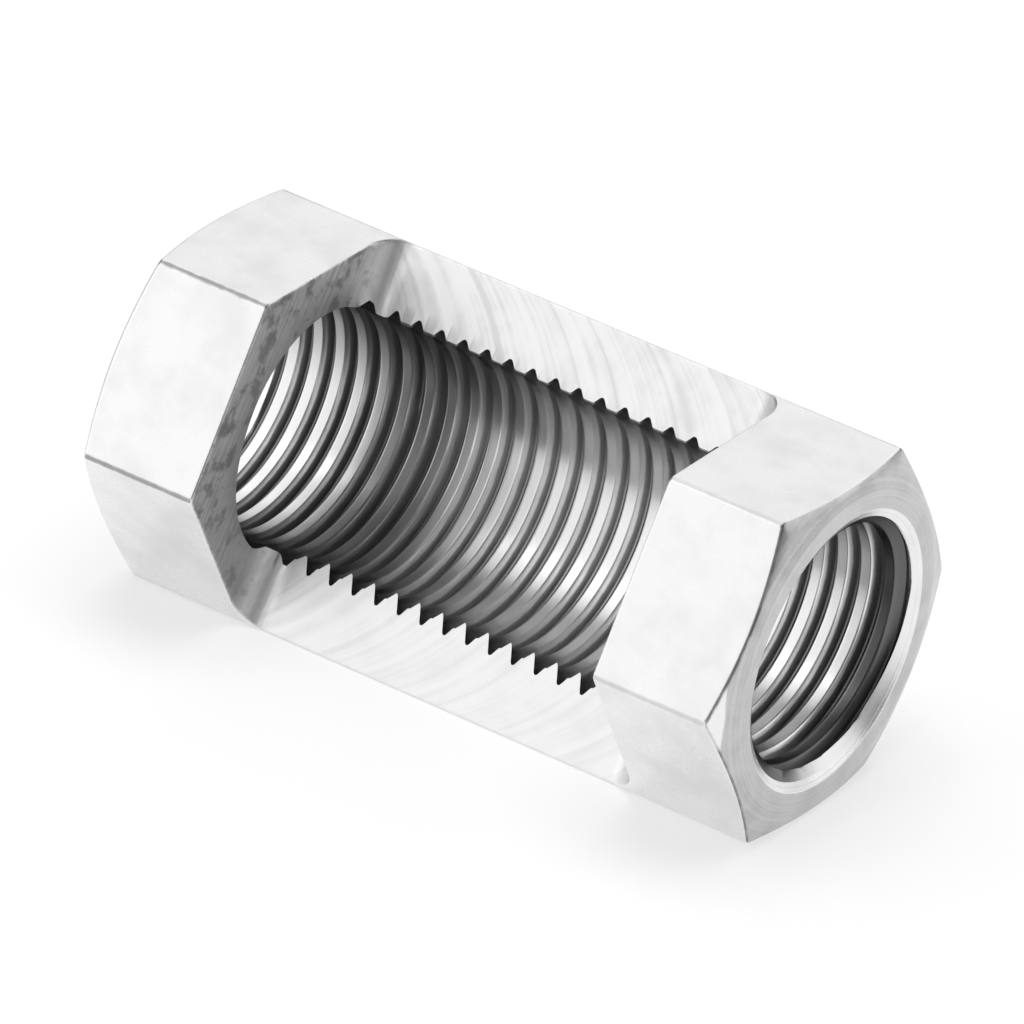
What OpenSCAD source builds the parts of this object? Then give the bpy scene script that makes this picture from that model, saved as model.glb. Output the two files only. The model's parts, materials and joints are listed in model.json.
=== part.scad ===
// Hexagon coupling nut with an open window
//
// A length of hexagon bar with one threaded bore from end to end. A window
// is milled across one flat, down to the axis of the bore, so that the ends
// of the two rods that meet inside can be seen. A closed collar is left at
// each end. The nut lies on a flat, with its bore along X and the window
// turned to the front and upwards. All sizes are in millimetres.

/* [Hexagon] */
// Distance between opposite flats
flats_w = 13; // [12:0.5:17]
// Length from end face to end face
nut_len = 28; // [20:0.5:40]
// How much the long edges are rounded down from sharp corners
edge_cut = 0.08; // [0.02:0.02:0.3]

/* [Ends] */
// Distance from the flats in to the flat ring on each end face
ring_inset = 0.45; // [0.1:0.05:0.6]
// Slope of the chamfer on the corners, against the end face
chamfer_angle = 20; // [15:1:40]

/* [Thread] */
// Nominal diameter of the thread
thread_d = 10; // [8:0.25:10.5]
// Pitch of the thread
thread_pitch = 1; // [0.75:0.25:1.5]
// Share of the full depth that the drilled hole leaves to the thread
thread_share = 0.7; // [0.5:0.05:1]
// Width of the bevelled mouth outside the thread
mouth_rim = 0.35; // [0.1:0.05:0.5]
// Slope of the bevelled mouth, against the end face
mouth_angle = 30; // [20:1:50]

/* [Window] */
// Length of the closed collar at each end
collar_len = 5.3; // [3:0.1:7]
// Height of the window's floor over the axis of the bore
floor_h = 0; // [-1:0.1:2]
// Radius between the window's floor and its end walls
floor_r = 1.2; // [0.4:0.1:2]

/* [Hidden] */
$fn = 96;

// Flats and corners of the hexagon
sides = 6;
flat_r = flats_w / 2;
corner_r = flat_r / cos(180 / sides);
edge_r = corner_r - edge_cut;

// Ends: a chamfer cone runs from the flat ring out to the long edges
ring_r = flat_r - ring_inset;
chamfer_depth = (edge_r - ring_r) * tan(chamfer_angle);

// How far a cut runs out past the surface that it goes through
overrun = 1;

// Bore: the hole drilled for a 60 degree thread, with a bevelled mouth
full_depth = 5 / 8 * cos(30) * thread_pitch;
bore_r = thread_d / 2 - thread_share * full_depth;
mouth_r = thread_d / 2 + mouth_rim;
mouth_depth = (mouth_r - bore_r) * tan(mouth_angle);

// Window: it faces one flat round from the top
window_turn = 360 / sides;
window_len = nut_len - 2 * collar_len;
window_top = corner_r + overrun;
window_w = 2 * (corner_r + overrun);

// Lays what is made along Z along the bore, on X
module along_bore() {
    rotate([0, 90, 0])
        children();
}

// Hexagon bar with sharp edges, one flat at the top and one at the bottom
module bar() {
    rotate(180 / sides)
        cylinder(r = corner_r, h = nut_len, center = true, $fn = sides);
}

// Turned blank that rounds the long edges and takes the corners off the ends
module turned_blank() {
    half = nut_len / 2;
    rotate_extrude()
        polygon([
            [0, -half],
            [ring_r, -half],
            [edge_r, -half + chamfer_depth],
            [edge_r, half - chamfer_depth],
            [ring_r, half],
            [0, half]
        ]);
}

// Bore with a bevelled mouth at each end
module bore() {
    half = nut_len / 2;
    flare_r = mouth_r + overrun / tan(mouth_angle);
    rotate_extrude()
        polygon([
            [0, -half - overrun],
            [flare_r, -half - overrun],
            [bore_r, -half + mouth_depth],
            [bore_r, half - mouth_depth],
            [flare_r, half + overrun],
            [0, half + overrun]
        ]);
}

// Side view of the window, with its floor filleted into both end walls
module window_profile() {
    fillet_x = window_len / 2 - floor_r;
    fillet_y = floor_h + floor_r;
    translate([-fillet_x, floor_h])
        square([2 * fillet_x, window_top - floor_h]);
    translate([-window_len / 2, fillet_y])
        square([window_len, window_top - fillet_y]);
    for (side = [-1, 1])
        translate([side * fillet_x, fillet_y])
            circle(r = floor_r);
}

// The milled window, right across the bar
module window() {
    rotate([90 + window_turn, 0, 0])
        linear_extrude(height = window_w, center = true)
            window_profile();
}

// The whole nut
module coupling_nut() {
    color([0.86, 0.87, 0.88])
        difference() {
            along_bore()
                intersection() {
                    bar();
                    turned_blank();
                }
            along_bore()
                bore();
            window();
        }
}

coupling_nut();
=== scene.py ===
"""A hexagon coupling nut with an open window, in bright plated steel.

The nut lies on a flat with its bore along X. Angles run round the bore from +Y towards +Z, and
lengths are in millimetres until a mesh is made. The skin is worked out from closed outlines: at
each angle a half-plane through the axis cuts the steel in one loop, and the loops make a grid.
"""
import json
import math

import bmesh
import bpy
import numpy as np
from mathutils import Matrix, Vector


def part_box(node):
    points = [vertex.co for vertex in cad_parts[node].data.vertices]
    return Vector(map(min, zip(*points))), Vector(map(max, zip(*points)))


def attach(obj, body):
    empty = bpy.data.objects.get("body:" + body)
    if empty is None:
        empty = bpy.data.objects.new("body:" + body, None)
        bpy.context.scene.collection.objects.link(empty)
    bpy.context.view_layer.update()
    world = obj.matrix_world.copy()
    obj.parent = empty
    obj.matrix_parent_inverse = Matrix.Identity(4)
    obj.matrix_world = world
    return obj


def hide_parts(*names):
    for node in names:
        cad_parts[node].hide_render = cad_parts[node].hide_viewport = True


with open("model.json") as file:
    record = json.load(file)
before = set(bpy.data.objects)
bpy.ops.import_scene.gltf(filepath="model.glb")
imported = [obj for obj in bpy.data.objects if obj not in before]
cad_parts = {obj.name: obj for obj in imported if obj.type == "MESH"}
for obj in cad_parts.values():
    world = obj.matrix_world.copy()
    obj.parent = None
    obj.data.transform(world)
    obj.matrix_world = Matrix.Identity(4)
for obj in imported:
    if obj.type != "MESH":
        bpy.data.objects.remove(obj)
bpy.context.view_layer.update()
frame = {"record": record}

MM = 0.001
TURN = 2 * math.pi
NUT_NODE = "coupling_nut"

# Hexagon bar and its ends
NUT_LOW, NUT_HIGH = (np.array(corner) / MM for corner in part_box(NUT_NODE))
HALF_LEN = NUT_HIGH[0]
FLAT_R = NUT_HIGH[2]
SIDES = 6
HALF_SIDE = math.pi / SIDES
EDGE_R = 0.35
RING_INSET = 0.45
RING_R = FLAT_R - RING_INSET
CHAMFER = math.radians(20)

# Thread: the bore's stated radius is that of the crests, and flats and flanks are shares of a turn
BORE_R = next(m["dims"]["r_mm"] for m in frame["record"]["mounts"] if m["kind"] == "threaded_hole")
PITCH = 1.0
MAJOR_R = 5.0
THREAD_DEPTH = MAJOR_R - BORE_R
CREST_X = 0.06
ROOT_FLAT = 1 / 8
FLANK_ANGLE = math.radians(30)
FLANK = THREAD_DEPTH * math.tan(FLANK_ANGLE) / PITCH
CREST_FLAT = 1 - ROOT_FLAT - 2 * FLANK

# Bevelled mouth of the bore
MOUTH_RIM = 0.35
MOUTH_R = MAJOR_R + MOUTH_RIM
MOUTH_SLOPE = math.radians(30)
MOUTH_DEPTH = MOUTH_RIM * math.tan(MOUTH_SLOPE)
MOUTH_FOOT = HALF_LEN - MOUTH_DEPTH

# Window: its floor holds the axis, and is filleted into both end walls
COLLAR_LEN = 5.3
FILLET_R = 1.2
FLOOR_HALF = HALF_LEN - COLLAR_LEN - FILLET_R
UPPER_DEGREES = 60
LOWER_DEGREES = 240
UPPER_FLOOR = math.radians(UPPER_DEGREES)
LOWER_FLOOR = math.radians(LOWER_DEGREES)
WINDOW_ANGLE = math.radians(150)
BELOW_WINDOW = math.radians(210)

# Tips of the crests along the floor: worn on its upper strip, drawn out by the cutter on the lower
TIP_WORN = 0.1
TIP_WORN_REACH = 0.13
TIP_WORN_TAPER = 2
TIP_DRAWN = 0.34
TIP_DRAWN_REACH = 0.42
TIP_DRAWN_TAPER = 1.5
TIP_DRAWN_HALF = 0.29
TIP_LEAN = 0.15
TIP_FADE = 0.5

# Radii of the broken edges
CHAMFER_SOFT = 0.16
RIM_SOFT = 0.1
WINDOW_SOFT = 0.09

# Spacing of the points along a section, close together beside an edge
EDGE_GAPS = np.array([0, 0.02, 0.05, 0.09, 0.15])
RIM_GAPS = np.array([0.03, 0.08])
WALL_SHARES = np.array([0, 0.25, 0.5, 0.75])

# Points along one turn of the thread: beside its corners, which are rounded, and in the root's middle
ROUNDING = 0.12
MARGIN = 0.2
CLIMBS = (-ROUNDING - MARGIN, -ROUNDING, 0, ROUNDING, ROUNDING + MARGIN, 1 - ROUNDING, 1 + ROUNDING)
BREAKS = CREST_FLAT / 2 + FLANK * np.array(CLIMBS)
ROOT_MIDDLE = 0.5
STATIONS = np.sort(np.concatenate([-BREAKS, BREAKS, [ROOT_MIDDLE]]))

# Angles of the sections in degrees: even steps, steps beside each corner, and steps of the fillet's arc
TWO_TURNS = 720
EVEN_STEP = 4
BESIDE_CORNER = np.array([0.2, 0.6, 1.05, 1.4, 2.2])
FILLET_STEP = 9

# Working out the skin: repeated corrections, a short probe for slopes, and the merging of points
CORRECTIONS = 8
PROBE = 1e-5
LEAST_SLOPE = 0.25
SAME_POINT = 2e-4
SHORTEST_EDGE = 1e-4
SHARP_EDGE = math.radians(38)

# Finishes, by their number on the faces
FLATS, ENDS, BEVEL, THREAD, MILLED = range(5)

# Columns of an end's section at which its face and its bevel begin, then its cuts outwards and back
FACE_START = 2 * len(EDGE_GAPS) - 1
BEVEL_START = FACE_START + 4 * len(RIM_GAPS) + 3
END_CUTS = (
    (slice(0, FACE_START), FLATS),
    (slice(FACE_START, BEVEL_START), ENDS),
    (slice(BEVEL_START, None), BEVEL),
)
BACK_CUTS = (
    (slice(None, BEVEL_START, -1), BEVEL),
    (slice(BEVEL_START, FACE_START, -1), ENDS),
    (slice(FACE_START, None, -1), FLATS),
)


def bar_radius(theta):
    """Distance from the axis to the bar's skin: a straight flat, or an arc round each corner."""
    corner = np.mod(theta + HALF_SIDE, 2 * HALF_SIDE) - HALF_SIDE
    flat = FLAT_R / np.cos(HALF_SIDE - np.abs(corner))
    centre = (FLAT_R - EDGE_R) / math.cos(HALF_SIDE)
    across = np.clip(centre * np.sin(corner), -EDGE_R, EDGE_R)
    arc = centre * np.cos(corner) + np.sqrt(EDGE_R ** 2 - across ** 2)
    tangent = math.atan2(EDGE_R * math.sin(HALF_SIDE), centre + EDGE_R * math.cos(HALF_SIDE))
    return np.where(np.abs(corner) < tangent, arc, flat)


def crest_turn(x, theta):
    """Share of a turn between a point and the middle of the nearest crest of the right-hand thread."""
    turn = (x - CREST_X) / PITCH - theta / TURN
    return turn - np.round(turn)


def thread_radius(x, theta):
    """Radius of the thread: flat crests and roots, straight flanks and rounded corners.

    The share of a turn between a point and the nearest crest sets how far up the flank it lies.
    """
    climb = (np.abs(crest_turn(x, theta)) - CREST_FLAT / 2) / FLANK
    low = np.clip(climb + ROUNDING, 0, 2 * ROUNDING) ** 2 / (4 * ROUNDING)
    high = np.clip(1 + ROUNDING - climb, 0, 2 * ROUNDING) ** 2 / (4 * ROUNDING)
    middle = np.clip(climb, ROUNDING, 1 - ROUNDING) - ROUNDING
    share = low + middle - (high - ROUNDING)
    return BORE_R + THREAD_DEPTH * np.clip(share, 0, 1)


def tip_shift(x, theta):
    """How far the tips of the crests stand off the thread where the window's floor cuts it.

    On the upper strip they are worn outwards, and on the lower strip drawn inwards to a leaning
    point. Both fade with the depth under the floor and towards the fillets.
    """
    depth = BORE_R * np.abs(np.sin(theta - UPPER_FLOOR))
    on_floor = np.clip((FLOOR_HALF - np.abs(x)) / TIP_FADE, 0, 1)
    tip_wear_and_edge_shade = np.clip(1 - depth / TIP_WORN_REACH, 0, 1) ** TIP_WORN_TAPER
    tip_wear_and_edge_shade = tip_wear_and_edge_shade * np.clip(1 - (thread_radius(x, theta) - BORE_R) / THREAD_DEPTH, 0, 1)
    drawn = np.clip(1 - depth / TIP_DRAWN_REACH, 0, 1) ** TIP_DRAWN_TAPER
    drawn = drawn * np.clip(1 - np.abs(crest_turn(x, theta) - TIP_LEAN) / TIP_DRAWN_HALF, 0, 1)
    upper = np.cos(theta - UPPER_FLOOR) > 0
    return on_floor * np.where(upper, TIP_WORN * tip_wear_and_edge_shade, -TIP_DRAWN * drawn)


def bore_radius(x, theta):
    """Radius of the tapped bore, with its tips along the floor, opened by a cone at each mouth."""
    cone = MOUTH_R - (HALF_LEN - np.abs(x)) / math.tan(MOUTH_SLOPE)
    return np.maximum(thread_radius(x, theta) + tip_shift(x, theta), cone)


def wall_x(theta, radius):
    """Half length of the window at a point: straight walls, and an arc where it nears the floor."""
    height = np.clip(radius * np.sin(theta - UPPER_FLOOR), 0, FILLET_R)
    return FLOOR_HALF + np.sqrt(FILLET_R ** 2 - (FILLET_R - height) ** 2)


def bore_wall_x(theta, side):
    """Half length of the window where its wall meets the thread, found by repeated correction."""
    x = wall_x(theta, BORE_R)
    for _ in range(CORRECTIONS):
        x = wall_x(theta, bore_radius(side * x, theta))
    return x


def helix_stations(theta, low, high):
    """Points along the bore that follow the thread, one row per angle, held between two limits."""
    shift = CREST_X + PITCH * theta / TURN
    first = math.floor(np.min(low - shift) / PITCH)
    last = math.ceil(np.max(high - shift) / PITCH)
    along = (np.arange(first, last + 1)[:, None] + STATIONS).ravel() * PITCH
    held = np.clip(shift[:, None] + along, low[:, None], high[:, None])
    return np.column_stack([low, held, high])


def rows(columns):
    """One column per given value, each a number or one number per angle."""
    return np.column_stack(np.broadcast_arrays(*columns))


def end_section(theta, start):
    """Section of one end, from the flat beside the window to the foot of the mouth's bevel.

    It runs straight along the flat, down the chamfer, over the ring and into the bevel.
    """
    skin = bar_radius(theta)
    chamfer_x = HALF_LEN - (skin - RING_R) * math.tan(CHAMFER)
    near_rim = RIM_GAPS[:, None] / np.hypot(HALF_LEN - chamfer_x, skin - RING_R)
    x, r = [], []
    for gap in EDGE_GAPS:
        x.append(start + gap)
        r.append(skin)
    for gap in EDGE_GAPS[::-1]:
        x.append(chamfer_x - gap)
        r.append(skin)
    for share in (*near_rim, 0.5, *(1 - near_rim[::-1]), 1):
        x.append(chamfer_x + (HALF_LEN - chamfer_x) * share)
        r.append(skin + (RING_R - skin) * share)
    for radius in (*(RING_R - RIM_GAPS), *(MOUTH_R + RIM_GAPS[::-1]), MOUTH_R):
        x.append(HALF_LEN)
        r.append(radius)
    for slide in (*RIM_GAPS, MOUTH_DEPTH / math.sin(MOUTH_SLOPE)):
        x.append(HALF_LEN - slide * math.sin(MOUTH_SLOPE))
        r.append(MOUTH_R - slide * math.cos(MOUTH_SLOPE))
    return rows(x), rows(r)


def wall_steps(inner, outer):
    """Radii from the thread's edge out to the bar's skin, close together beside the skin."""
    near = outer[:, None] - EDGE_GAPS[::-1]
    middle = inner[:, None] + (near[:, :1] - inner[:, None]) * WALL_SHARES
    return np.hstack([middle, near])


def angle_samples(low, high):
    """Angles between two limits in degrees: an even step, and more of them round the bar's corners."""
    even = np.arange(0, TWO_TURNS + 1, EVEN_STEP)
    around = np.concatenate([-BESIDE_CORNER, [0], BESIDE_CORNER])
    corners = np.arange(0, TWO_TURNS + 1, 360 / SIDES)[:, None] + around
    found = np.unique(np.round(np.concatenate([even, corners.ravel()]), 6))
    return np.radians(found[(found >= low) & (found <= high)])


def fillet_samples():
    """Angles at which the fillet is cut in even steps of its own arc, beside both floors."""
    rise = np.radians(np.arange(FILLET_STEP, 91, FILLET_STEP))
    away = np.arcsin(FILLET_R * (1 - np.cos(rise)) / (0.5 * (BORE_R + FLAT_R)))
    return np.concatenate([UPPER_FLOOR + away, LOWER_FLOOR - away])


def points(theta, x, r):
    """Places a section's points: x along the bore, r out from it at the row's angle."""
    return np.stack([x, r * np.cos(theta)[:, None], r * np.sin(theta)[:, None]], -1)


def solid_half():
    """The unbroken half of the nut: closed sections from one floor of the window to the other."""
    theta = angle_samples(LOWER_DEGREES, UPPER_DEGREES + 360)
    edge = np.full(len(theta), FLOOR_HALF)
    mouth = np.full(len(theta), MOUTH_FOOT)
    end_x, end_r = end_section(theta, edge)
    back_x = helix_stations(theta, -edge, edge)
    back_r = np.repeat(bar_radius(theta)[:, None], back_x.shape[1], 1)
    parts = [(back_x, back_r, FLATS)]
    parts += [(end_x[:, cut], end_r[:, cut], finish) for cut, finish in END_CUTS]
    for low, high in ((edge, mouth), (-edge, edge), (-mouth, -edge)):
        bore = helix_stations(theta, low, high)[:, ::-1]
        parts.append((bore, bore_radius(bore, theta[:, None]), THREAD))
    parts += [(-end_x[:, cut], end_r[:, cut], finish) for cut, finish in BACK_CUTS]
    return theta, parts


def collar(side):
    """One closed collar, on the window's half: sections from the skin round to the window's wall."""
    theta = np.sort(np.concatenate([angle_samples(UPPER_DEGREES, LOWER_DEGREES), fillet_samples()]))
    skin = bar_radius(theta)
    inner = bore_wall_x(theta, side)
    mouth = np.full(len(theta), MOUTH_FOOT)
    end_x, end_r = end_section(theta, wall_x(theta, skin))
    if side > 0:
        bore = helix_stations(theta, inner, mouth)[:, ::-1]
    else:
        bore = helix_stations(theta, -mouth, -inner)
    wall_r = wall_steps(bore_radius(side * inner, theta), skin)
    parts = [(side * end_x[:, cut], end_r[:, cut], finish) for cut, finish in END_CUTS]
    parts.append((bore, bore_radius(bore, theta[:, None]), THREAD))
    parts.append((side * wall_x(theta[:, None], wall_r), wall_r, MILLED))
    return theta, parts


def floor_strip(angle):
    """One flat strip of the window's floor, between the thread's edge and the bar's skin."""
    theta = np.array([angle])
    edge = np.array([FLOOR_HALF])
    x = helix_stations(theta, -edge, edge)[0]
    r = wall_steps(bore_radius(x, angle), np.full(len(x), bar_radius(theta)[0]))
    grid = points(np.full(len(x), angle), np.repeat(x[:, None], r.shape[1], 1), r)
    return grid, np.full(r.shape[1] - 1, MILLED)


def rounded_corner(a, b, radius, cosine):
    """Level of the space inside two surfaces whose normals have this cosine, rounded where they meet.

    a and b are distances outside the two surfaces. Near the edge the level is the distance from
    a line that lies inside both by the radius, less the radius.
    """
    u, v = a + radius, b + radius
    reach = np.sqrt(np.maximum(u * u + v * v - 2 * u * v * cosine, 0) / (1 - cosine ** 2))
    return np.where((u > v * cosine) & (v > u * cosine), reach - radius, np.maximum(a, b))


def steel_level(p):
    """Distance outside the nut without its bore, with all its long edges and rims rounded.

    The flats, the chamfer, the end face, the mouth and the window are met in turn, each pair in a
    rounded corner.
    """
    x, y, z = np.abs(p[:, 0]), p[:, 1], p[:, 2]
    r = np.hypot(y, z)
    normals = np.arange(SIDES) * 2 * HALF_SIDE + HALF_SIDE
    flats = np.sort(y[:, None] * np.cos(normals) + z[:, None] * np.sin(normals) - FLAT_R, 1)
    level = rounded_corner(flats[:, -1], flats[:, -2], EDGE_R, math.cos(2 * HALF_SIDE))
    cone = (x - HALF_LEN) * math.cos(CHAMFER) + (r - RING_R) * math.sin(CHAMFER)
    level = rounded_corner(level, cone, CHAMFER_SOFT, math.sin(CHAMFER))
    level = rounded_corner(level, x - HALF_LEN, RIM_SOFT, math.cos(CHAMFER))
    mouth = (x - HALF_LEN) * math.cos(MOUTH_SLOPE) - (r - MOUTH_R) * math.sin(MOUTH_SLOPE)
    level = rounded_corner(level, mouth, RIM_SOFT, math.cos(MOUTH_SLOPE))
    height = y * math.cos(WINDOW_ANGLE) + z * math.sin(WINDOW_ANGLE)
    beyond = np.stack([x - FLOOR_HALF, FILLET_R - height])
    window = np.hypot(*np.maximum(beyond, 0)) + np.minimum(beyond.max(0), 0) - FILLET_R
    return rounded_corner(level, -window, WINDOW_SOFT, 0.0)


def soften(p):
    """Moves points on to the rounded skin, along the slope of its level, in a few corrections."""
    for _ in range(CORRECTIONS):
        ahead = np.stack([steel_level(p + PROBE * axis) for axis in np.eye(3)], 1)
        behind = np.stack([steel_level(p - PROBE * axis) for axis in np.eye(3)], 1)
        slope = (ahead - behind) / (2 * PROBE)
        steep = np.maximum((slope ** 2).sum(1), LEAST_SLOPE)
        p = p - (steel_level(p) / steep)[:, None] * slope
    return p


def grid_quads(n_rows, n_columns, first):
    """Corner numbers of the faces of a grid whose points are counted row by row from first."""
    corner = first + np.arange(n_rows - 1)[:, None] * n_columns + np.arange(n_columns - 1)
    return np.stack([corner, corner + 1, corner + n_columns + 1, corner + n_columns], -1).reshape(-1, 4)


def nut_grids():
    """All grids of the nut as (points, finish of each column of faces)."""
    grids = []
    for theta, parts in (solid_half(), collar(1), collar(-1)):
        x = np.hstack([part[0] for part in parts] + [parts[0][0][:, :1]])
        r = np.hstack([part[1] for part in parts] + [parts[0][1][:, :1]])
        finish = np.concatenate([np.full(part[0].shape[1], part[2]) for part in parts])
        grids.append((points(theta, x, r), finish))
    return grids + [floor_strip(angle) for angle in (UPPER_FLOOR, LOWER_FLOOR)]


def make_nut():
    """Joins the grids into one closed mesh, with a finish number on every face.

    All points but those of the thread are first moved on to the rounded skin.
    """
    spots, quads, finishes = [], [], []
    count = 0
    for grid, finish in nut_grids():
        n_rows, n_columns = grid.shape[:2]
        cut = grid.reshape(-1, 3)
        on_skin = np.tile(np.append(finish != THREAD, True), n_rows)
        spots.append(np.where(on_skin[:, None], soften(cut), cut))
        quads.append(grid_quads(n_rows, n_columns, count))
        finishes.append(np.tile(finish, n_rows - 1))
        count += len(cut)
    mesh = bpy.data.meshes.new("coupling_nut_skin")
    mesh.from_pydata(np.concatenate(spots) * MM, [], np.concatenate(quads))
    mesh.polygons.foreach_set("material_index", np.concatenate(finishes).astype(np.int32))
    skin = bmesh.new()
    skin.from_mesh(mesh)
    bmesh.ops.remove_doubles(skin, verts=skin.verts, dist=SAME_POINT * MM)
    bmesh.ops.dissolve_degenerate(skin, edges=skin.edges, dist=SHORTEST_EDGE * MM)
    bmesh.ops.recalc_face_normals(skin, faces=skin.faces)
    skin.to_mesh(mesh)
    skin.free()
    mesh.polygons.foreach_set("use_smooth", np.ones(len(mesh.polygons), bool))
    mesh.set_sharp_from_angle(angle=SHARP_EDGE)
    nut = bpy.data.objects.new("coupling_nut_steel", mesh)
    bpy.context.scene.collection.objects.link(nut)
    return nut


class Signal:
    """One socket of a material's nodes, on which sums can be written as they are for numbers."""

    def __init__(self, tree, socket):
        self.tree = tree
        self.socket = socket

    def node(self, kind, settings, values, output=0):
        """Adds any other node: its type, its settings, then the values or links of its sockets."""
        node = self.tree.nodes.new(kind)
        for name, setting in settings.items():
            setattr(node, name, setting)
        for name, value in values.items():
            if isinstance(value, Signal):
                self.tree.links.new(value.socket, node.inputs[name])
            else:
                node.inputs[name].default_value = value
        return Signal(self.tree, node.outputs[output])

    def maths(self, operation, *values):
        """Adds one Math node."""
        return self.node("ShaderNodeMath", {"operation": operation}, dict(enumerate(values)))

    def __add__(self, other):
        return self.maths("ADD", self, other)

    def __radd__(self, other):
        return self.maths("ADD", other, self)

    def __sub__(self, other):
        return self.maths("SUBTRACT", self, other)

    def __rsub__(self, other):
        return self.maths("SUBTRACT", other, self)

    def __mul__(self, other):
        return self.maths("MULTIPLY", self, other)

    def __rmul__(self, other):
        return self.maths("MULTIPLY", other, self)

    def __truediv__(self, other):
        return self.maths("DIVIDE", self, other)

    def __rtruediv__(self, other):
        return self.maths("DIVIDE", other, self)

    def __pow__(self, other):
        return self.maths("POWER", self, other)

    def __rpow__(self, other):
        return self.maths("POWER", other, self)

    def __abs__(self):
        return self.maths("ABSOLUTE", self)

    def most(self, *others):
        """The greatest of this value and others."""
        greatest = self
        for other in others:
            greatest = self.maths("MAXIMUM", greatest, other)
        return greatest

    def between(self, low, high, start=0.0, stop=1.0):
        """Runs smoothly from start to stop as this value goes from low to high."""
        values = {"Value": self, "From Min": low, "From Max": high, "To Min": start, "To Max": stop}
        return self.node("ShaderNodeMapRange", {"interpolation_type": "SMOOTHSTEP"}, values)

    def blend(self, first, second):
        """Goes from one colour to another as this value goes from 0 to 1."""
        values = {0: self, 6: first, 7: second}
        return self.node("ShaderNodeMix", {"data_type": "RGBA"}, values, 2)

    def scaled(self, scale):
        """This place, stretched by a scale along each axis."""
        return self.node("ShaderNodeMapping", {}, {"Vector": self, "Scale": scale})

    def noise(self, scale, detail=2.0, roughness=0.5):
        """Soft noise at this place."""
        values = {"Vector": self, "Scale": scale, "Detail": detail, "Roughness": roughness}
        return self.node("ShaderNodeTexNoise", {}, values)

    def lines(self, scale, detail=3.0, roughness=0.5):
        """Soft noise along this one value, which draws lines where the value stays the same."""
        values = {"W": self, "Scale": scale, "Detail": detail, "Roughness": roughness}
        return self.node("ShaderNodeTexNoise", {"noise_dimensions": "1D"}, values)


class Finish:
    """A steel finish: its nodes, the place of a point in millimetres, and its measures on the nut."""

    def __init__(self, name):
        self.material = bpy.data.materials.new(name)
        self.material.use_nodes = True
        tree = self.material.node_tree
        self.shader = tree.nodes["Principled BSDF"]
        self.shader.inputs["Metallic"].default_value = 1
        coords = tree.nodes.new("ShaderNodeTexCoord")
        self.place = Signal(tree, coords.outputs["Object"]).scaled((1 / MM, 1 / MM, 1 / MM))
        parts = tree.nodes.new("ShaderNodeSeparateXYZ")
        tree.links.new(self.place.socket, parts.inputs[0])
        self.x, self.y, self.z = (Signal(tree, socket) for socket in parts.outputs)
        self.radius = (self.y * self.y + self.z * self.z) ** 0.5

    def along(self, angle):
        """How far a point lies from the axis in the direction of an angle."""
        return self.y * math.cos(angle) + self.z * math.sin(angle)

    def put(self, colour, roughness, height, depth):
        """Feeds the shader: colour, roughness, and a relief of a given depth in millimetres."""
        links = self.material.node_tree.links
        links.new(colour.socket, self.shader.inputs["Base Color"])
        links.new(roughness.socket, self.shader.inputs["Roughness"])
        values = {"Height": height, "Distance": depth * MM, "Strength": 1.0}
        bump = height.node("ShaderNodeBump", {}, values)
        links.new(bump.socket, self.shader.inputs["Normal"])
        return self.material


# Colours of the plating, bare or clouded, and of the grime on it, and darker colours for painted shade
BRIGHT_ZINC = (0.88, 0.88, 0.885, 1)
CLOUDED_ZINC = (0.80, 0.80, 0.805, 1)
TURNED_ZINC = (0.59, 0.59, 0.595, 1)
TURNED_GREY = (0.48, 0.48, 0.485, 1)
# Painted shade along the long edges
EDGE_SHADE_GREY = (0.36, 0.36, 0.36, 1)
# Painted shade on the chamfer's rim
RIM_SHADE_GREY = (0.24, 0.24, 0.24, 1)
TAPPING_GREY = (0.37, 0.37, 0.372, 1)
# Painted shade in the grooves of the collars and in the last turn
SHADED_GROOVE = (0.2, 0.2, 0.202, 1)
SHADED_LAST_TURN = (0.15, 0.15, 0.151, 1)
# Painted shade on the darkened crests
SHADED_ZINC = (0.28, 0.28, 0.282, 1)
THREAD_EDGE_TINT = (0.25, 0.25, 0.25, 1)
MILL_GREY = (0.66, 0.66, 0.66, 1)
WALL_DARK = (0.44, 0.44, 0.44, 1)

# Depths of the relief that the tools leave
DRAWN_RELIEF = 0.003
TURNED_RELIEF = 0.006
BEVEL_RELIEF = 0.004
TORN_RELIEF = 0.0015
MILLED_RELIEF = 0.01

# Where painted shade, a painted glint, darkening and stains begin and are full: distances on the nut, and
# for grooves shares of depth
# Painted shade along the long edges, fainter towards the near end
EDGE_SHADE = (7.425, 7.452)
NEAR_END = (2.0, 9.0)
# Painted glint on the chamfer at one corner
GLINT_CORNER = (6.6, 6.72)
# Painted shade on the chamfer's rim
CHAMFER_RIM_SHADE = (6.36, 6.44)
GROOVE_DARK = (0.4, 0.62)
INSIDE_MOUTH = (MOUTH_R + 0.02, MOUTH_R + 0.06)
# Painted shade on the crests: towards the floor, on the far side and beside the far wall
FLOOR_SHADE = (-2.6, -0.6)
FAR_SHADE_ACROSS = (1.0, 3.6)
FAR_SHADE_ALONG = (-8.0, 1.0)
WALL_SHADOW_START = (-9.8, -8.2)
WALL_SHADOW_STOP = (-6.4, -4.6)
# Painted shade in the collars and in the last turn
COLLAR_SHADE = (8.0, 9.2)
LAST_TURN_SHADE = (12.2, 12.9)
WALL_FOOT = (0.1, 0.9)
STRIP_SIDES = (-1.0, 1.0)
# Walls darker beside the bore and low down
BESIDE_BORE_DARK = (4.7, 6.0)
LOW_DOWN_DARK = (-6.5, -2.5)

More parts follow.
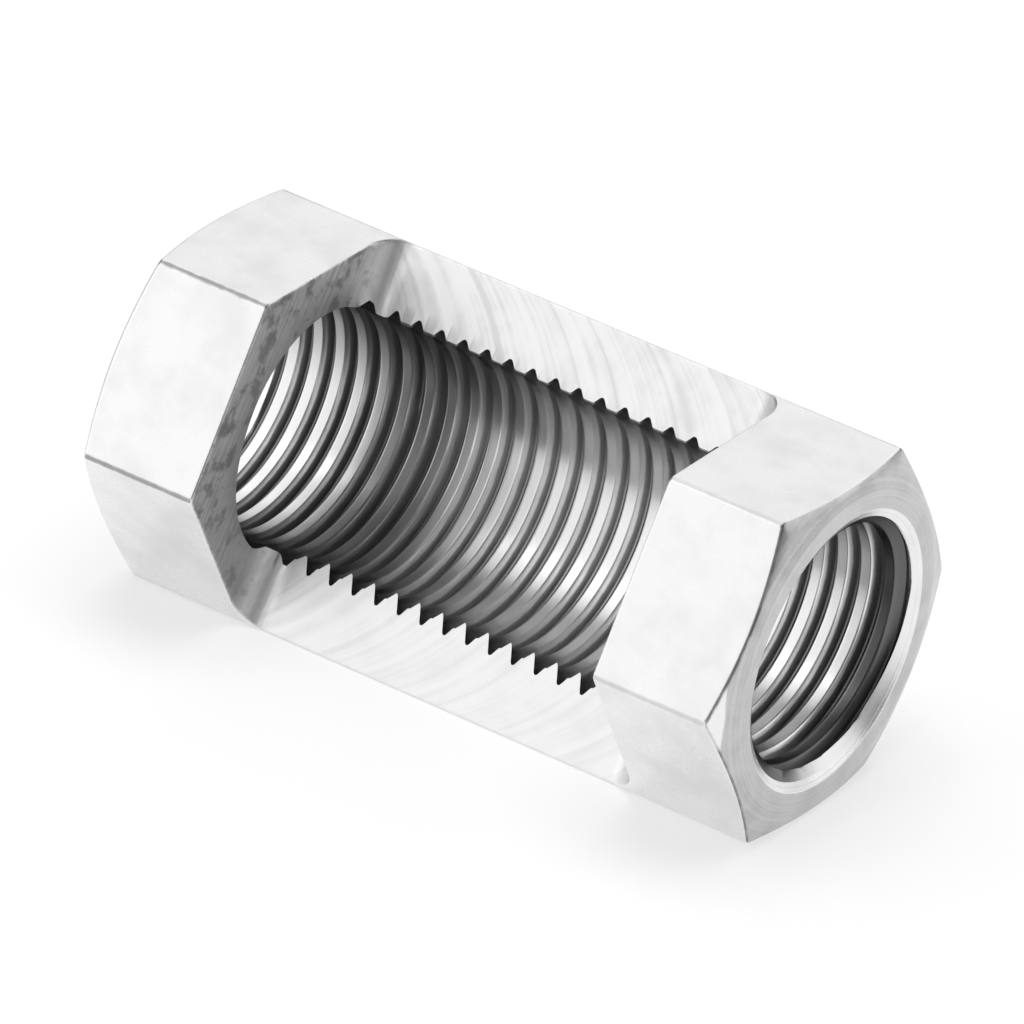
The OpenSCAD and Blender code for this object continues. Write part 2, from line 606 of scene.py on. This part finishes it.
# Shares of the full painted shade, stain or darkening
NEAR_EDGE_SHADE_SHARE = 0.4
FAINT_RIM_SHADE_SHARE = 0.35
WINDOW_SHADE_SHARE = 0.7
COLLAR_SHADE_SHARE = 0.8
LOWER_STAIN, UPPER_STAIN = 0.25, 0.55
BESIDE_BORE_SHARE = 0.4
LOW_DOWN_SHARE = 0.6

# The cutter that milled the window
CUTTER_R = 9.0
CUTTER_FEED = 0.55


def drawn_flats():
    """Drawn bar: faint lines along its length, clouds in the plating and painted shade along the long
    edges.
    """
    steel = Finish("drawn_flats")
    lines = steel.place.scaled((0.06, 5.0, 5.0)).noise(scale=1.0, detail=3.0)
    clouds = steel.place.noise(scale=0.45, detail=3.0, roughness=0.6)
    grain = steel.place.noise(scale=9.0)
    ragged = steel.place.noise(scale=2.5) - 0.5
    # Painted shade: a dark band on the rounded long edges, fainter towards the near end
    tip_wear_and_edge_shade = (steel.radius + 0.024 * ragged).between(*EDGE_SHADE)
    tip_wear_and_edge_shade = tip_wear_and_edge_shade * steel.x.between(*NEAR_END, 1.0, NEAR_EDGE_SHADE_SHARE)
    colour = clouds.between(0.35, 0.75).blend(BRIGHT_ZINC, CLOUDED_ZINC)
    colour = tip_wear_and_edge_shade.blend(colour, EDGE_SHADE_GREY)
    roughness = 0.2 + 0.1 * clouds + 0.06 * lines + 0.06 * tip_wear_and_edge_shade
    return steel.put(colour, roughness, 0.6 * lines + 0.4 * grain, DRAWN_RELIEF)


def turned_ends():
    """Turned end: fine rings round the bore, painted shade on the chamfer's rim and a painted glint on one
    corner.
    """
    steel = Finish("turned_ends")
    rings = (steel.radius + 0.6 * abs(steel.x)).lines(scale=9.0)
    clouds = steel.place.noise(scale=0.8, detail=3.0, roughness=0.6)
    colour = (0.6 * clouds + 0.4 * rings).between(0.35, 0.7).blend(TURNED_ZINC, TURNED_GREY)
    # Painted glint: the chamfer turns bright at the corner between the window's flat and the flat below it
    painted_glint = (steel.along(math.pi) + 0.2 * (clouds - 0.5)).between(*GLINT_CORNER)
    colour = painted_glint.blend(colour, BRIGHT_ZINC)
    # Painted shade: a dark band on the chamfer's rim beside the window's flat and the flat below it
    rim_shade = steel.along(WINDOW_ANGLE).most(steel.along(BELOW_WINDOW)).between(*CHAMFER_RIM_SHADE)
    rim_shade = rim_shade * clouds.between(0.38, 0.58, FAINT_RIM_SHADE_SHARE, 1.0)
    colour = rim_shade.blend(colour, RIM_SHADE_GREY)
    roughness = 0.2 + 0.1 * clouds + 0.08 * rings
    return steel.put(colour, roughness, rings, TURNED_RELIEF)


def turned_bevel():
    """Bevel of the mouth: bright from a sharp tool, with very fine rings round the bore."""
    steel = Finish("turned_bevel")
    rings = steel.radius.lines(scale=14.0)
    clouds = steel.place.noise(scale=1.2, detail=3.0, roughness=0.6)
    colour = (0.5 * clouds + 0.5 * rings).between(0.4, 0.7).blend(BRIGHT_ZINC, CLOUDED_ZINC)
    roughness = 0.2 + 0.1 * clouds + 0.08 * rings
    return steel.put(colour, roughness, rings, BEVEL_RELIEF)


def tapped_thread():
    """Tapped thread: bright crests, darker grooves, and fine torn lines round the bore.

    Painted shade darkens the crests towards the window's floor, on the far side and beside the far
    wall, as painted dark reflections and the far wall's painted shadow. In the grooves the painted
    shade is darker, most of all in the collars and in the last turn.
    """
    steel = Finish("tapped_thread")
    depth = (steel.radius - BORE_R) / THREAD_DEPTH
    torn = steel.place.scaled((14.0, 0.5, 0.5)).noise(scale=1.0, detail=3.0, roughness=0.6)
    clouds = steel.place.noise(scale=0.9, detail=3.0, roughness=0.6)
    inside = (steel.radius + (HALF_LEN - abs(steel.x)) / math.tan(MOUTH_SLOPE)).between(*INSIDE_MOUTH)
    in_collar = abs(steel.x).between(*COLLAR_SHADE)
    # Darker towards the roots of the grooves, but not on the bevel; the extra darkening in the collars is
    # painted shade
    dark = (depth + 0.25 * (clouds - 0.5) + 0.1 * in_collar).between(*GROOVE_DARK) * inside
    # Painted shade: crests darkened towards the window's floor and on the far side, as painted dark
    # reflections
    floor_shade = (steel.along(WINDOW_ANGLE) + 1.6 * (clouds - 0.5)).between(*FLOOR_SHADE)
    far_shade = steel.along(UPPER_FLOOR).between(*FAR_SHADE_ACROSS) * steel.x.between(*FAR_SHADE_ALONG, 1.0, 0.0)
    # Painted shadow of the far wall on the crests beside it
    wall_shadow = steel.x.between(*WALL_SHADOW_START) * steel.x.between(*WALL_SHADOW_STOP, 1.0, 0.0)
    painted_shade = floor_shade.most(WINDOW_SHADE_SHARE * far_shade, WINDOW_SHADE_SHARE * wall_shadow)
    # Painted shade in the grooves, strongest inside the collars
    shade_in_grooves = painted_shade.most(COLLAR_SHADE_SHARE * in_collar)
    colour = dark.blend(painted_shade.blend(BRIGHT_ZINC, SHADED_ZINC), shade_in_grooves.blend(TAPPING_GREY, SHADED_GROOVE))
    # Painted shade: the last turn inside each mouth is made nearly black
    colour = (steel.x.between(*LAST_TURN_SHADE) * inside).blend(colour, SHADED_LAST_TURN)
    roughness = 0.26 + 0.1 * torn + 0.08 * dark
    steel.shader.inputs["Specular Tint"].default_value = THREAD_EDGE_TINT
    return steel.put(colour, roughness, torn, TORN_RELIEF)


def milled_window():
    """Milled window: arcs of the cutter over the floor, and streaks across both walls.

    The arcs are lines of equal distance from a cutter that moves along the nut. The walls are
    mottled with grime, and darker beside the bore and low down.
    """
    steel = Finish("milled_window")
    height = steel.along(WINDOW_ANGLE)
    across = steel.along(UPPER_FLOOR)
    swing = (CUTTER_R ** 2 - across * across) ** 0.5
    arcs = ((steel.x - swing) / CUTTER_FEED).lines(scale=1.0, roughness=0.6)
    streaks = (height + 0.04 * across).lines(scale=5.0, detail=4.0, roughness=0.65)
    clouds = steel.place.noise(scale=0.7, detail=3.0, roughness=0.6)
    on_wall = height.between(*WALL_FOOT)
    marks = arcs + on_wall * (streaks - arcs)
    share = on_wall.most(across.between(*STRIP_SIDES, LOWER_STAIN, UPPER_STAIN))
    stain = (marks * 0.6 + clouds * 0.4).between(0.42, 0.66) * share
    colour = stain.blend(BRIGHT_ZINC, MILL_GREY)
    mottle = steel.place.noise(scale=1.3, detail=3.0, roughness=0.6).between(0.45, 0.65)
    # Darker beside the bore and low down on the walls
    by_bore = steel.radius.between(*BESIDE_BORE_DARK, BESIDE_BORE_SHARE, 0.0)
    low_down = across.between(*LOW_DOWN_DARK, LOW_DOWN_SHARE, 0.0)
    colour = (on_wall * mottle.most(by_bore, low_down)).blend(colour, WALL_DARK)
    roughness = 0.3 + 0.16 * marks + 0.08 * clouds + 0.14 * on_wall
    return steel.put(colour, roughness, marks, MILLED_RELIEF)


nut = make_nut()
for finish in (drawn_flats, turned_ends, turned_bevel, tapped_thread, milled_window):
    nut.data.materials.append(finish())
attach(nut, "root")
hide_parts(NUT_NODE)

# Camera, turned as the photograph's is
CAMERA_RIGHT = (0.81345, 0.57495, 0.08790)
CAMERA_UP = (-0.34898, 0.36156, 0.86458)
CAMERA_BACK = (0.46531, -0.73397, 0.49476)
CAMERA_AWAY = 466 * MM
VIEW_WIDTH = 36.4 * MM
NEAREST, FARTHEST = 0.01, 10

# Floor, lamps and world
FLOOR_HALF_SIDE = 0.6
FLOOR_PALE = (0.92, 0.92, 0.92, 1)
FLOOR_ROUGHNESS = 0.9
FLOOR_WHITE = 0.6
LAMP_AWAY = 0.6
WORLD_GLOW = 0.03
WHITE = (1, 1, 1, 1)


def make_camera():
    """A long lens at the photograph's distance and angle, with the nut in the middle of its view."""
    data = bpy.data.cameras.new("camera")
    data.lens = data.sensor_width * CAMERA_AWAY / VIEW_WIDTH
    data.clip_start = NEAREST
    data.clip_end = FARTHEST
    camera = bpy.data.objects.new("camera", data)
    turn = Matrix((CAMERA_RIGHT, CAMERA_UP, CAMERA_BACK)).transposed().normalized()
    camera.matrix_world = Matrix.LocRotScale(CAMERA_AWAY * turn.col[2], turn, None)
    bpy.context.scene.collection.objects.link(camera)
    bpy.context.scene.camera = camera


def make_floor():
    """A plain pale floor under the nut, lifted part of the way to white where it is seen or mirrored."""
    half = FLOOR_HALF_SIDE
    z = NUT_LOW[2] * MM
    corners = [(-half, -half, z), (half, -half, z), (half, half, z), (-half, half, z)]
    mesh = bpy.data.meshes.new("floor")
    mesh.from_pydata(corners, [], [(0, 1, 2, 3)])
    floor = bpy.data.objects.new("floor", mesh)
    bpy.context.scene.collection.objects.link(floor)
    material = bpy.data.materials.new("pale_floor")
    material.use_nodes = True
    tree = material.node_tree
    shader = tree.nodes["Principled BSDF"]
    shader.inputs["Base Color"].default_value = FLOOR_PALE
    shader.inputs["Roughness"].default_value = FLOOR_ROUGHNESS
    shader.inputs["Specular IOR Level"].default_value = 0
    ray = tree.nodes.new("ShaderNodeLightPath")
    names = ("Is Camera Ray", "Is Glossy Ray", "Is Transmission Ray")
    camera, glossy, through = (Signal(tree, ray.outputs[name]) for name in names)
    seen = FLOOR_WHITE * camera.most(glossy, through)
    white = seen.node("ShaderNodeEmission", {}, {"Color": WHITE, "Strength": 1.0})
    mixed = seen.node("ShaderNodeMixShader", {}, {0: seen, 1: Signal(tree, shader.outputs[0]), 2: white})
    tree.links.new(mixed.socket, tree.nodes["Material Output"].inputs["Surface"])
    mesh.materials.append(material)


def softbox(name, toward, width, height, glow, mirrored=True):
    """A lamp that faces the nut from a direction, with the glow that a mirror would show."""
    data = bpy.data.lights.new(name, "AREA")
    data.shape = "RECTANGLE"
    data.size = width
    data.size_y = height
    data.energy = glow * math.pi * width * height
    lamp = bpy.data.objects.new(name, data)
    back = Vector(toward).normalized()
    lamp.location = back * LAMP_AWAY
    lamp.rotation_mode = "QUATERNION"
    lamp.rotation_quaternion = (-back).to_track_quat("-Z", "Y")
    lamp.visible_camera = False
    lamp.visible_glossy = mirrored
    bpy.context.scene.collection.objects.link(lamp)


def make_world():
    """A faint even glow all round."""
    world = bpy.data.worlds.new("studio")
    world.use_nodes = True
    background = world.node_tree.nodes["Background"]
    background.inputs["Color"].default_value = WHITE
    background.inputs["Strength"].default_value = WORLD_GLOW
    bpy.context.scene.world = world
    bpy.context.scene.view_settings.view_transform = "Standard"


make_camera()
make_floor()
softbox("front_left_softbox", toward=(-0.389, -0.789, 0.474), width=0.68, height=0.7, glow=1.05)
softbox("top_left_softbox", toward=(-0.465, -0.03, 0.884), width=0.62, height=0.4, glow=1.15)
softbox("back_left_softbox", toward=(-0.465, 0.734, 0.495), width=0.5, height=0.5, glow=0.96)
softbox("back_right_softbox", toward=(0.66, 0.62, 0.42), width=0.5, height=0.5, glow=1.1)
softbox("front_right_fill", toward=(0.465, -0.795, 0.388), width=0.6, height=0.6, glow=0.12)
softbox("right_softbox", toward=(0.9, -0.2, 0.4), width=0.4, height=0.45, glow=0.45)
softbox("left_fill", toward=(-0.93, -0.3, 0.22), width=0.6, height=0.36, glow=0.65)
softbox("back_fill", toward=(0.08, 0.78, 0.62), width=0.3, height=0.4, glow=0.6)
softbox("high_fill", toward=(0.05, 0.2, 0.98), width=0.3, height=0.3, glow=0.35)
softbox("overhead_softbox", toward=(0.05, 0.05, 1.0), width=0.42, height=0.42, glow=4.0, mirrored=False)
make_world()
